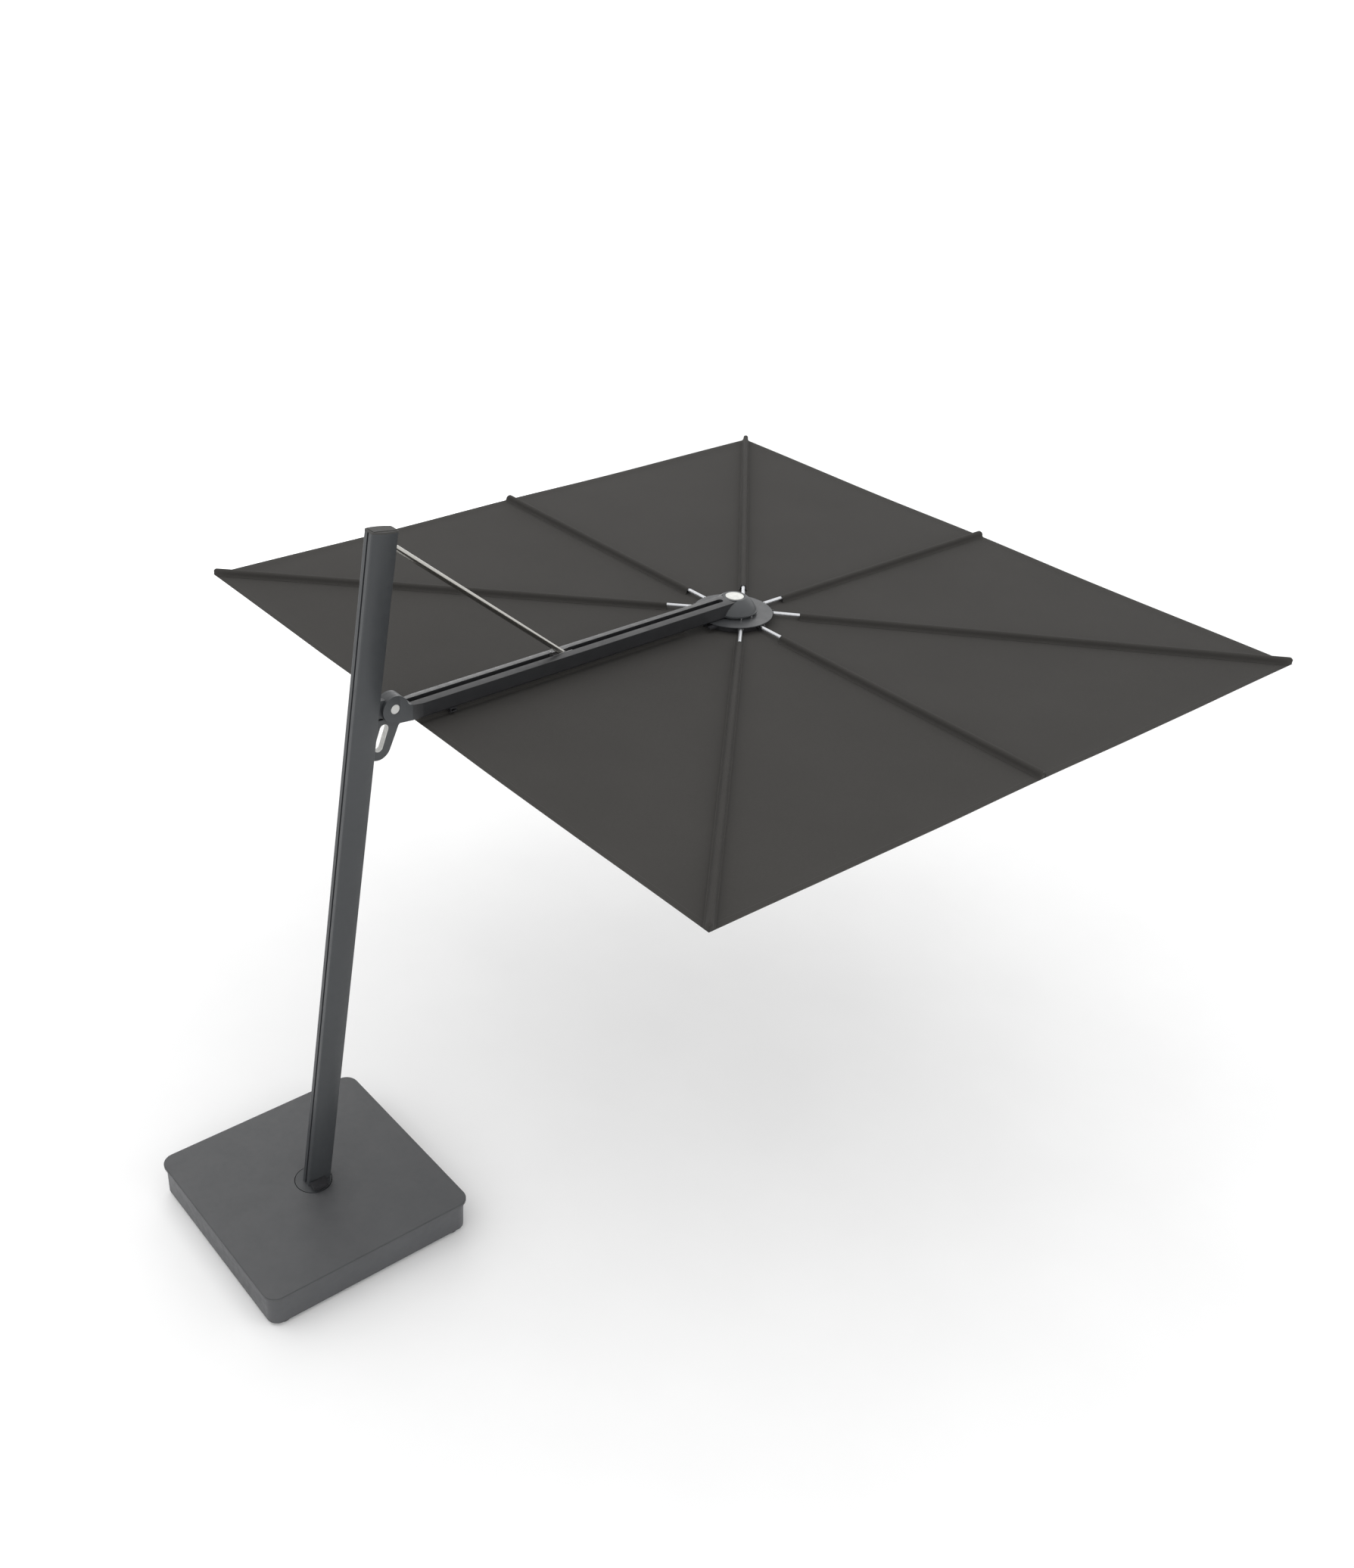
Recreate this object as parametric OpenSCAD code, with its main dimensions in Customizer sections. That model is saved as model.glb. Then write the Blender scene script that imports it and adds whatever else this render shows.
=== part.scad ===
// Cantilever parasol: ballasted base, leaning mast, boom hung from a tie rod, square canopy on eight ribs.
// Millimetres, +Z up, +X from the mast towards the canopy, origin on the floor under the swivel axis.

/* [Base] */
// Side of the square lid
base_side = 910; // [700:10:1100]
// Corner radius of the lid
base_corner_r = 55; // [10:5:120]
// Height of the lid's top face above the floor
base_top = 163; // [120:1:220]
// Thickness of the lid
lid_t = 14; // [6:1:25]
// How far the lid overhangs the tray on each side
lid_over = 10; // [0:1:25]
// Height of the feet
foot_h = 18; // [8:1:30]
// Wall and floor of the steel tray
tray_wall = 3; // [2:0.5:6]
// Sheet thickness of the lid inside its rim
lid_sheet = 4; // [2:0.5:6]
// Thickness of the ballast slabs
slab_t = 80; // [40:10:110]

/* [Swivel] */
// Radius of the turntable plate, flush with the lid
plate_r = 73; // [60:0.5:90]
// Radius of the spindle under the plate
spindle_r = 40; // [25:1:50]
// Radial running clearance of the pivots
run = 0.05; // [0.02:0.01:0.1]

/* [Mast] */
// Lean of the mast towards the canopy, degrees
mast_lean = 8.2; // [0:0.1:12]
// Offset of the mast's centreline at the lid
mast_x0 = 15.7; // [0:0.1:30]
// Length of the mast along its own axis, cap included
mast_len = 2691; // [2000:5:3000]
// Depth of the mast profile, front to back
mast_depth = 102; // [80:1:140]
// Radius of the mast's two bowed sides
mast_side_r = 157; // [120:1:300]
// Width across the bowed sides
mast_width = 63; // [50:1:90]
// Opening of the front groove
groove_w = 26; // [16:1:30]
// Width of the chamber behind the opening
chamber_w = 38; // [30:1:40]
// Thickness of the top cap
top_cap_t = 8; // [4:1:20]

/* [Boom] */
// Knuckle axis, distance in front of the swivel axis
knuckle_x = 421; // [380:1:500]
// Knuckle axis, height above the lid
knuckle_z = 2018; // [1800:1:2200]
// Radius of the knuckle
knuckle_r = 50; // [35:1:70]
// Width of the knuckle
knuckle_w = 50; // [40:1:80]
// Diameter of the knuckle pin
knuckle_pin_d = 36.5; // [20:0.5:45]
// Width of the boom
boom_w = 80; // [60:1:100]
// Radius of the boom's crowned top
boom_crown_r = 202; // [120:1:400]
// Underside of the boom above the lid
boom_low = 1960; // [1900:1:1970]
// Top of the boom above the lid
boom_high = 2022; // [2000:1:2060]
// Width of the groove in the boom's top
boom_groove_w = 25; // [16:1:30]
// Depth of that groove
boom_groove_d = 32; // [20:1:40]

/* [Tie rod] */
// Anchor pin in the boom, distance in front of the swivel axis
anchor_x = 1170; // [1000:1:1400]
// Anchor pin height above the lid
anchor_z = 2009; // [1990:1:2015]
// Top pin in the mast head, distance in front of the swivel axis
head_x = 425; // [400:1:440]
// Top pin height above the lid
head_z = 2606; // [2400:1:2620]
// Diameter of the rod
rod_d = 21; // [16:0.5:21.5]

/* [Canopy] */
// Side of the square canopy
canopy_side = 3000; // [2400:50:3500]
// Distance of the canopy's centre in front of the swivel axis
hub_x = 2022; // [1800:1:2300]
// Underside of the fabric above the lid
fabric_z = 1929; // [1900:1:1950]
// Thickness of the fabric layer
fabric_t = 2; // [1:0.5:3]
// Diameter of the ribs
rib_d = 14; // [10:0.5:16]
// Height of the rib axes above the lid
rib_z = 1946.5; // [1940:0.5:1950]
// Distance of the rib hinges from the canopy's centre
rib_hinge_r = 150; // [120:1:180]
// Distance at which the sleeves begin
sleeve_r = 265; // [200:5:320]
// Width of a rib sleeve
sleeve_w = 34; // [20:1:50]
// Where the corner ribs' lines meet, in front of the canopy's centre
corner_aim_x = 55; // [0:1:80]
// Radius of the crown disc
disc_r = 156; // [140:1:200]

/* [Hidden] */
$fn = 96;
lens_y = mast_side_r - mast_width / 2;
foot_len = 130;
mast_bottom = base_top + 1.6;
// Positions in the mast's own frame: x from its centreline, z along its length
function on_mast(x, z) = [
    (x - mast_x0) * cos(mast_lean) - z * sin(mast_lean),
    (x - mast_x0) * sin(mast_lean) + z * cos(mast_lean)
];
kn = on_mast(knuckle_x, knuckle_z);
top_pin = on_mast(head_x, head_z);
tie_dx = head_x - anchor_x;
tie_dz = head_z - anchor_z;
tie_len = sqrt(tie_dx * tie_dx + tie_dz * tie_dz);
tie_tilt = atan2(tie_dz, tie_dx);
half = canopy_side / 2;
// Rib lines: direction, a point the line passes through, and the length of the line to the canopy's edge
corner_out = atan2(half, half - corner_aim_x);
corner_in = atan2(half, -half - corner_aim_x);
rib_angles = [corner_out, 90, corner_in, 180, -corner_in, -90, -corner_out, 0];
rib_aims = [corner_aim_x, 7, corner_aim_x, 0, corner_aim_x, 7, corner_aim_x, 0];
// Distance along the line from its aim point to the circle of radius r about the canopy's centre
function reach(k, r) = -rib_aims[k] * cos(rib_angles[k])
    + sqrt(r * r - pow(rib_aims[k] * sin(rib_angles[k]), 2));
function edge_at(k) = (k % 2 == 0)
    ? sqrt(pow(half * sign(cos(rib_angles[k])) - rib_aims[k], 2) + half * half)
    : half;
// Closed tip of the sleeve on the same line
function tip_at(k) = edge_at(k) - (k % 2 == 0 ? 7 : 2);
a1 = [381, 1948];
a2 = [357, 1883];

// Helpers

// Flat shape drawn in X and Z, standing on the XZ plane with thickness w centred on Y
module side_plate(w) {
    rotate([90, 0, 0])
        linear_extrude(height = w, center = true)
            children();
}

// Two circles and their common outer tangents
module taper(p, r1, q, r2) {
    d = q - p;
    len = norm(d);
    dir = atan2(d[1], d[0]);
    lean = acos((r1 - r2) / len);
    translate(p)
        circle(r = r1);
    translate(q)
        circle(r = r2);
    polygon([
        p + r1 * [cos(dir + lean), sin(dir + lean)],
        q + r2 * [cos(dir + lean), sin(dir + lean)],
        q + r2 * [cos(dir - lean), sin(dir - lean)],
        p + r1 * [cos(dir - lean), sin(dir - lean)]
    ]);
}

module round_rect(x, y, r) {
    square([x, y - 2 * r], center = true);
    square([x - 2 * r, y], center = true);
    for (sx = [-1, 1], sy = [-1, 1])
        translate([sx * (x / 2 - r), sy * (y / 2 - r)])
            circle(r = r);
}

// Places children in the mast's own frame
module in_mast() {
    translate([mast_x0, 0, base_top])
        rotate([0, mast_lean, 0])
            children();
}

// Lifts children drawn with heights above the lid
module above_lid() {
    translate([0, 0, base_top])
        children();
}

module mast_outline() {
    intersection() {
        translate([0, lens_y])
            circle(r = mast_side_r, $fn = 240);
        translate([0, -lens_y])
            circle(r = mast_side_r, $fn = 240);
        square([mast_depth - 8.4, mast_width + 2], center = true);
    }
    square([mast_depth, 37.2], center = true);
    for (sx = [-1, 1], sy = [-1, 1])
        translate([sx * (mast_depth / 2 - 6), sy * 18.6])
            circle(r = 6);
}

module mast_section() {
    difference() {
        mast_outline();
        // hollow core
        translate([-7, 0])
            round_rect(62, 44, 5);
        // front groove and the chamber behind it
        translate([mast_depth / 2 - 10, -groove_w / 2])
            square([20, groove_w]);
        translate([mast_depth / 2 - 22, -chamber_w / 2])
            square([14, chamber_w]);
        // cover groove in the back
        translate([-mast_depth / 2 - 2, -4])
            square([10, 8]);
    }
}

// Base

module base_lid() {
    color([0.14, 0.14, 0.15])
        translate([0, 0, base_top - lid_t])
            difference() {
                union() {
                    linear_extrude(height = lid_t - 3)
                        round_rect(base_side, base_side, base_corner_r);
                    translate([0, 0, lid_t - 3])
                        linear_extrude(height = 3)
                            round_rect(base_side - 4, base_side - 4, base_corner_r - 2);
                }
                // underside, open inside the rim
                translate([0, 0, -1])
                    linear_extrude(height = lid_t - lid_sheet + 1)
                        round_rect(base_side - 8, base_side - 8, base_corner_r - 4);
                translate([0, 0, -1])
                    cylinder(h = lid_t + 2, r = plate_r + 2.8);
            }
}

module base_tray() {
    side = base_side - 2 * lid_over;
    r = base_corner_r - lid_over;
    color([0.13, 0.13, 0.14])
        difference() {
            translate([0, 0, foot_h])
                linear_extrude(height = base_top - lid_sheet - foot_h)
                    round_rect(side, side, r);
            translate([0, 0, foot_h + tray_wall])
                linear_extrude(height = base_top)
                    round_rect(side - 2 * tray_wall, side - 2 * tray_wall, r - tray_wall);
        }
}

module ballast_slabs() {
    cell = base_side / 2 - lid_over - tray_wall - 6;
    color([0.6, 0.59, 0.56])
        for (sx = [0, 1], sy = [0, 1])
            mirror([sx, 0, 0])
                mirror([0, sy, 0])
                    translate([0, 0, foot_h + tray_wall + 0.3])
                        difference() {
                            translate([3, 3, 0])
                                cube([cell - 4, cell - 4, slab_t]);
                            translate([0, 0, -1])
                                cylinder(h = slab_t + 2, r = 72);
                            translate([cell - 31, cell - 31, -1])
                                rotate([0, 0, 45])
                                    translate([20, -60, 0])
                                        cube([60, 120, slab_t + 2]);
                        }
}

module base_feet() {
    x = base_side / 2 - 72;
    y = base_side / 2 - 48;
    color([0.05, 0.05, 0.05])
        for (p = [[0, 0], [-1, -1], [-1, 1], [1, -1], [1, 1]])
            translate([p[0] * x, p[1] * y, 0]) {
                cylinder(h = 4, r = 27);
                translate([0, 0, 4])
                    cylinder(h = foot_h - 4, r = 30);
            }
}

module bearing_socket() {
    color([0.3, 0.3, 0.32])
        difference() {
            translate([0, 0, foot_h + tray_wall])
                cylinder(h = base_top - 6 - foot_h - tray_wall, r = 64);
            translate([0, 0, 56])
                cylinder(h = base_top, r = spindle_r + run);
        }
}

// Mast

module turntable_plate() {
    color([0.16, 0.16, 0.17])
        difference() {
            union() {
                translate([0, 0, base_top - 5.8])
                    cylinder(h = 6.4, r = plate_r);
                translate([0, 0, 58])
                    cylinder(h = base_top - 60, r = spindle_r);
                for (s = [-1, 1])
                    translate([s * 23 - 3, -47, base_top - 1])
                        cube([6, 13, 25]);
            }
            translate([-40, -40.5, base_top + 19])
                rotate([0, 90, 0])
                    cylinder(h = 80, r = 4 + run);
        }
}

module mast_foot() {
    color([0.35, 0.35, 0.37])
        difference() {
            in_mast()
                translate([-7, 0, -20])
                    linear_extrude(height = foot_len + 20)
                        round_rect(61.6, 43.6, 5);
            translate([-200, -100, base_top - 99.4])
                cube([400, 200, 100]);
        }
}

module mast_post() {
    color([0.2, 0.21, 0.22])
        difference() {
            in_mast()
                translate([0, 0, -20])
                    linear_extrude(height = mast_len - top_cap_t + 20)
                        mast_section();
            translate([-200, -100, mast_bottom - 100])
                cube([400, 200, 100]);
            // pocket for the tie rod's upper end
            in_mast()
                translate([16, -13, 2600])
                    cube([40, 26, 100]);
        }
}

module mast_top_cap() {
    color([0.1, 0.1, 0.11])
        in_mast()
            translate([0, 0, mast_len - top_cap_t]) {
                difference() {
                    union() {
                        linear_extrude(height = top_cap_t - 2)
                            mast_outline();
                        translate([0, 0, top_cap_t - 2])
                            linear_extrude(height = 2)
                                square([mast_depth - 14, mast_width - 22], center = true);
                    }
                    translate([mast_depth / 2 - 8, -groove_w / 2, -1])
                        cube([20, groove_w, 2]);
                }
                translate([-37, -18, -12])
                    cube([33, 36, 12]);
            }
}

module head_bracket() {
    slot_len = norm([12.9, 8.8]);
    color([0.55, 0.56, 0.58])
        in_mast()
            difference() {
                translate([0, 0, 2602])
                    linear_extrude(height = 62)
                        union() {
                            translate([-2, -12.6])
                                square([55, 25.2]);
                            translate([-2, -21.9])
                                square([8, 43.8]);
                        }
                // channel for the tie rod's end
                translate([6, -11, 2590])
                    cube([60, 22, 90]);
                // slanted slots that let the top pin float as the boom tilts
                translate([top_pin[0], 0, top_pin[1]])
                    rotate([0, -atan2(8.8, 12.9), 0]) {
                        rotate([90, 0, 0])
                            cylinder(h = 60, r = 4.6, center = true);
                        translate([slot_len, 0, 0])
                            rotate([90, 0, 0])
                                cylinder(h = 60, r = 4.6, center = true);
                        translate([0, -30, -4.6])
                            cube([slot_len, 60, 9.2]);
                    }
            }
}

// Lock pedal

module foot_pedal() {
    color([0.08, 0.08, 0.09])
        difference() {
            translate([0, 0, base_top + 13])
                linear_extrude(height = 14)
                    union() {
                        translate([-35, -60])
                            square([70, 27]);
                        translate([0, -60])
                            round_rect(70, 30, 14);
                    }
            for (s = [-1, 1])
                translate([s * 23 - 3.6, -52, base_top])
                    cube([7.2, 30, 25.2]);
            translate([-40, -40.5, base_top + 19])
                rotate([0, 90, 0])
                    cylinder(h = 80, r = 4.02);
        }
}

module pedal_pin() {
    color([0.75, 0.75, 0.77])
        translate([-33, -40.5, base_top + 19])
            rotate([0, 90, 0])
                cylinder(h = 66, r = 4);
}

// Carriage that runs in the mast's front groove

module carriage() {
    color([0.2, 0.21, 0.22])
        difference() {
            in_mast()
                union() {
                    translate([mast_depth / 2 - 21.4, -18.2, kn[1] + 5.3])
                        cube([12.8, 36.4, 99.4]);
                    translate([mast_depth / 2 - 8.8, -12.4, kn[1] - 20])
                        cube([10.8, 24.8, 150]);
                    translate([mast_depth / 2 - 20, -12.4, kn[1] - 20])
                        cube([12, 24.8, 150]);
                    translate([mast_depth / 2 + 0.6, -12, kn[1] - 32])
                        cube([kn[0] - mast_depth / 2, 24, 66]);
                    translate([kn[0], 0, kn[1]])
                        rotate([90, 0, 0])
                            cylinder(h = 24, r = knuckle_r, center = true);
                }
            above_lid()
                translate([knuckle_x, 0, knuckle_z])
                    rotate([90, 0, 0])
                        cylinder(h = 60, r = knuckle_pin_d / 2 + run, center = true);
        }
}

module glide_pads() {
    color([0.85, 0.85, 0.83])
        in_mast()
            for (z = [kn[1] - 20, kn[1] + 105])
                translate([0, 0, z])
                    difference() {
                        translate([mast_depth / 2 - 21.95, -18.95, 0])
                            cube([13.9, 37.9, 25]);
                        translate([mast_depth / 2 - 20.1, -12.5, -1])
                            cube([20, 25, 27]);
                    }
}

// Boom

module fork_outline() {
    r = 14;
    cz = boom_high + r;
    cx = knuckle_x + sqrt(pow(knuckle_r + r, 2) - pow(cz - knuckle_z, 2));
    translate([knuckle_x, knuckle_z])
        circle(r = knuckle_r);
    difference() {
        polygon([
            [knuckle_x, knuckle_z],
            [knuckle_x + (cx - knuckle_x) * knuckle_r / (knuckle_r + r),
                knuckle_z + (cz - knuckle_z) * knuckle_r / (knuckle_r + r)],
            [cx, boom_high],
            [486.7, boom_high],
            [486.7, boom_low],
            [431, boom_low],
            [knuckle_x - 6, knuckle_z - 46]
        ]);
        translate([cx, cz])
            circle(r = r);
    }
}

module handle_outline() {
    difference() {
        intersection() {
            union() {
                taper(a1, 55.5, a2, 51);
                polygon([a1, [452, 1963], [442, 1949], [406, 1870], a2]);
                polygon([[340, 1948], [340, 1984], [421, 1984], [421, 1948]]);
                polygon([[421, 1948], [421, 1966], [462, 1966], [441, 1946]]);
            }
            // the upper edge stays under the carriage's arm
            translate([300, 1780])
                square([200, 204]);
            // the left limb stays inside the mast's groove
            translate([mast_x0, 0])
                rotate(-mast_lean)
                    translate([31, 1700])
                        square([300, 600]);
        }
        taper(a1, 18, a2, 18);
    }
}

module knuckle_fork() {
    color([0.19, 0.2, 0.21])
        above_lid()
            difference() {
                union() {
                    side_plate(knuckle_w)
                        fork_outline();
                    // flare out to the boom's width
                    intersection() {
                        side_plate(100)
                            fork_outline();
                        translate([0, 0, boom_low - 10])
                            linear_extrude(height = 120)
                                polygon([[440, 25], [486.7, 33.2], [486.7, -33.2], [440, -25]]);
                    }
                    side_plate(23)
                        handle_outline();
                    // spigot in the boom's lower chamber
                    translate([486, -26.7, boom_low + 6.3])
                        cube([64, 53.4, 19.4]);
                }
                // room for the carriage's barrel
                translate([knuckle_x, 0, knuckle_z])
                    rotate([90, 0, 0])
                        cylinder(h = 24.8, r = knuckle_r + 1, center = true);
                // seat of the pin
                translate([knuckle_x, 0, knuckle_z])
                    rotate([90, 0, 0])
                        cylinder(h = 80, r = knuckle_pin_d / 2, center = true);
            }
}

// Light lining of the handle's slot
module handle_liner() {
    color([0.85, 0.85, 0.83])
        above_lid()
            side_plate(22.6)
                difference() {
                    intersection() {
                        taper(a1, 17.96, a2, 17.96);
                        translate([mast_x0, 0])
                            rotate(-mast_lean)
                                translate([31, 1700])
                                    square([300, 600]);
                    }
                    taper(a1, 16.2, a2, 16.2);
                }
}

module knuckle_pin() {
    color([0.78, 0.78, 0.78])
        above_lid()
            translate([knuckle_x, 0, knuckle_z])
                rotate([90, 0, 0]) {
                    cylinder(h = 45, r = knuckle_pin_d / 2, center = true);
                    cylinder(h = 47, r = knuckle_pin_d / 2 - 1, center = true);
                }
}

module boom_section() {
    difference() {
        intersection() {
            translate([-boom_w / 2, boom_low])
                square([boom_w, boom_high - boom_low]);
            translate([0, boom_high - boom_crown_r])
                circle(r = boom_crown_r, $fn = 360);
            union() {
                translate([-boom_w / 2, boom_low + 9])
                    square([boom_w, 100]);
                translate([-boom_w / 2 + 9, boom_low])
                    square([boom_w - 18, 20]);
                for (s = [-1, 1])
                    translate([s * (boom_w / 2 - 9), boom_low + 9])
                        circle(r = 9);
            }
        }
        translate([-27, boom_low + 6])
            square([54, 20]);
    }
}

module boom_beam() {
    groove_z = boom_high - boom_groove_d;
    color([0.18, 0.18, 0.19])
        above_lid()
            difference() {
                intersection() {
                    translate([487, 0, 0])
                        rotate([90, 0, 90])
                            linear_extrude(height = hub_x - 487)
                                boom_section();
                    translate([0, 0, boom_low - 10])
                        linear_extrude(height = 120)
                            polygon([
                                [487, 33.2], [525, 40], [525, 41], [hub_x, 41],
                                [hub_x, -41], [525, -41], [525, -40], [487, -33.2]
                            ]);
                }
                // top groove with a round end
                translate([480, -boom_groove_w / 2, groove_z])
                    cube([hub_x - 66 - boom_groove_w / 2 - 480, boom_groove_w, 60]);
                translate([hub_x - 66 - boom_groove_w / 2, 0, groove_z])
                    cylinder(h = 60, r = boom_groove_w / 2);
                // side chambers
                for (s = [-1, 1])
                    translate([540, s * 25.5 - 8, groove_z - 1])
                        cube([hub_x - 540 - 20, 16, 24]);
                // round end against the housing
                translate([hub_x, 0, boom_low - 1])
                    cylinder(h = 100, r = 46.3);
            }
}

module boom_housing() {
    color([0.19, 0.2, 0.21])
        above_lid()
            difference() {
                translate([hub_x, 0, 0])
                    union() {
                        translate([0, 0, boom_low + 0.2])
                            cylinder(h = 10, r = 80);
                        translate([0, 0, boom_low + 9.5])
                            cylinder(h = 4.5, r = 94);
                        intersection() {
                            translate([0, 0, boom_low - 22.8])
                                sphere(r = 96.5, $fn = 180);
                            translate([0, 0, boom_low + 9.5])
                                cylinder(h = boom_high - boom_low - 9.5, r = 91.5);
                        }
                    }
                // the boom passes into the housing
                difference() {
                    translate([hub_x - 200, -boom_w / 2 - 0.15, boom_low - 1])
                        cube([200, boom_w + 0.3, 80]);
                    translate([hub_x, 0, boom_low - 2])
                        cylinder(h = 100, r = 46);
                }
                // recess for the cap
                translate([hub_x, 0, boom_high - 4])
                    cylinder(h = 10, r = 35.9);
            }
}

module hub_cap() {
    color([0.8, 0.8, 0.78])
        above_lid()
            translate([hub_x, 0, boom_high - 4]) {
                cylinder(h = 4.5, r = 35.6);
                cylinder(h = 5.2, r = 33.4);
            }
}

module housing_screws() {
    color([0.55, 0.55, 0.57])
        above_lid()
            for (a = [-45, -78, -112, 45, 78, 112])
                translate([hub_x + 87 * cos(a), 87 * sin(a), boom_low + 0.1])
                    cylinder(h = 9.3, r = 3);
}

module anchor_bracket() {
    color([0.82, 0.83, 0.83])
        above_lid()
            difference() {
                union() {
                    for (s = [-1, 1])
                        translate([1113, s * 11.75 - 0.6, boom_high - boom_groove_d + 0.1])
                            cube([86, 1.2, boom_groove_d + 0.6]);
                    translate([1113, -12.3, boom_high - boom_groove_d + 0.1])
                        cube([86, 24.6, 2.5]);
                    translate([1113, 9.6, boom_high - 1])
                        cube([7, 2.8, 6]);
                }
                translate([anchor_x, 0, anchor_z])
                    rotate([90, 0, 0])
                        cylinder(h = 60, r = 4 + run, center = true);
            }
}

module boom_clip() {
    color([0.06, 0.06, 0.06])
        above_lid()
            difference() {
                translate([640, -37, boom_low - 18])
                    cube([29, 14, 18]);
                translate([646, -40, boom_low - 14])
                    cube([17, 20, 9]);
            }
}

module crown_disc() {
    color([0.2, 0.2, 0.21])
        above_lid()
            translate([hub_x, 0, boom_low - 3]) {
                cylinder(h = 2.2, r = disc_r);
                cylinder(h = 3, r = disc_r - 1.5);
            }
}

module rib_frame(k) {
    above_lid()
        translate([hub_x + rib_aims[k], 0, rib_z])
            rotate([0, 0, rib_angles[k]])
                children();
}

module crown_body() {
    color([0.1, 0.1, 0.11])
        difference() {
            union() {
                above_lid()
                    translate([hub_x, 0, 0]) {
                        translate([0, 0, fabric_z + 3])
                            cylinder(h = boom_low - 3 - fabric_z - 3, r = 100);
                        translate([0, 0, fabric_z + 4])
                            cylinder(h = boom_low - 3 - fabric_z - 4, r = 140);
                        // small lug beside the boom
                        translate([-178, -61, boom_low - 12])
                            cube([52, 15, 8]);
                    }
                for (k = [0:7])
                    rib_frame(k)
                        for (s = [-1, 1])
                            translate([reach(k, rib_hinge_r) - 60, s * 9.4 - 2, -9])
                                cube([74, 4, 18.6]);
            }
            for (k = [0:7])
                rib_frame(k)
                    translate([reach(k, rib_hinge_r), 0, 0])
                        rotate([90, 0, 0])
                            cylinder(h = 40, r = 2.5, center = true, $fn = 32);
        }
}

module rib_pins() {
    color([0.7, 0.7, 0.72])
        for (k = [0:7])
            rib_frame(k)
                translate([reach(k, rib_hinge_r), 0, 0])
                    rotate([90, 0, 0])
                        cylinder(h = 23, r = 2.5, center = true, $fn = 32);
}

module canopy_patch() {
    color([0.31, 0.3, 0.29])
        above_lid()
            translate([hub_x, 0, fabric_z])
                cylinder(h = fabric_t, r = 137.5);
}

module crown_button() {
    color([0.08, 0.08, 0.08])
        above_lid()
            translate([hub_x, 0, fabric_z - 8]) {
                cylinder(h = 4, r = 26);
                translate([0, 0, 3.9])
                    cylinder(h = 4, r = 30);
            }
}

// Tie rod, drawn along +X from the anchor pin and turned into place

module on_tie() {
    above_lid()
        translate([anchor_x, 0, anchor_z])
            rotate([0, -tie_tilt, 0])
                children();
}

module tie_rod() {
    color([0.82, 0.83, 0.83])
        on_tie()
            translate([14, 0, -1.5])
                rotate([0, 90, 0])
                    cylinder(h = tie_len - 28, r = rod_d / 2, $fn = 64);
}

module tie_ends() {
    color([0.5, 0.51, 0.53])
        on_tie()
            for (s = [0, 1])
                translate([s * tie_len, 0, 0])
                    mirror([s, 0, 0])
                        side_plate(19)
                            difference() {
                                union() {
                                    circle(r = 11);
                                    translate([0, -11])
                                        square([13.8, 20]);
                                }
                                circle(r = 4);
                            }
}

module tie_pins() {
    color([0.75, 0.75, 0.77])
        on_tie()
            for (x = [0, tie_len])
                translate([x, 0, 0])
                    rotate([90, 0, 0])
                        cylinder(h = 24.6, r = 4, center = true);
}

// Canopy: ribs, sleeves and fabric panels, one of each per sector

module rib(k) {
    start = reach(k, rib_hinge_r);
    end = tip_at(k) - 4;
    color([0.72, 0.73, 0.74])
        rib_frame(k)
            difference() {
                translate([start - 5, 0, 0])
                    rotate([0, 90, 0])
                        cylinder(h = end - start + 5, r = rib_d / 2, $fn = 48);
                translate([start + 25, 0, 0])
                    rotate([0, 90, 0])
                        cylinder(h = end, r = rib_d / 2 - 1.5, $fn = 48);
                translate([start, 0, 0])
                    rotate([90, 0, 0])
                        cylinder(h = 30, r = 2.5 + run, center = true, $fn = 32);
            }
}

module sleeve(k) {
    start = reach(k, sleeve_r);
    tip = tip_at(k);
    w = sleeve_w / 2;
    low = fabric_z + fabric_t + 0.1 - rib_z;
    color([0.24, 0.23, 0.22])
        rib_frame(k)
            difference() {
                intersection() {
                    // flared fabric tube
                    rotate([90, 0, 90])
                        linear_extrude(height = tip + 10)
                            union() {
                                translate([0, -1])
                                    circle(r = 11, $fn = 48);
                                polygon([
                                    [-w, low], [w, low], [w - 3.5, low + 2.5], [w - 5.2, low + 6.5],
                                    [11, -1], [-11, -1], [5.2 - w, low + 6.5], [3.5 - w, low + 2.5]
                                ]);
                            }
                    // plan outline with a round tip
                    translate([0, 0, -30])
                        linear_extrude(height = 60)
                            union() {
                                translate([start, -w - 1])
                                    square([tip - w - start, 2 * w + 2]);
                                translate([tip - w, 0])
                                    circle(r = w);
                            }
                }
                translate([start - 1, 0, 0])
                    rotate([0, 90, 0])
                        cylinder(h = tip - 3.8 - start + 1, r = rib_d / 2 + 0.3, $fn = 48);
            }
}

module panel_shape(k) {
    t = half * tan(22.5);
    if (k % 2 == 0)
        polygon([[0, 0], [half, t], [half, half], [t, half]]);
    else
        polygon([[0, 0], [half, -t], [half, t]]);
}

// Sector order matches the ribs: corners at even numbers, sides at odd ones
module panel(k) {
    turn = [0, 90, 90, 180, 180, 270, 270, 0];
    color([0.31, 0.3, 0.29])
        above_lid()
            translate([hub_x, 0, fabric_z])
                rotate([0, 0, turn[k]])
                    difference() {
                        linear_extrude(height = fabric_t)
                            panel_shape(k);
                        translate([0, 0, -1])
                            cylinder(h = fabric_t + 2, r = 138);
                        for (s = k % 2 == 0 ? [22.5, 67.5] : [-22.5, 22.5])
                            rotate([0, 0, s])
                                translate([0, -0.25, -1])
                                    cube([2 * half, 0.5, fabric_t + 2]);
                    }
}

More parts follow.
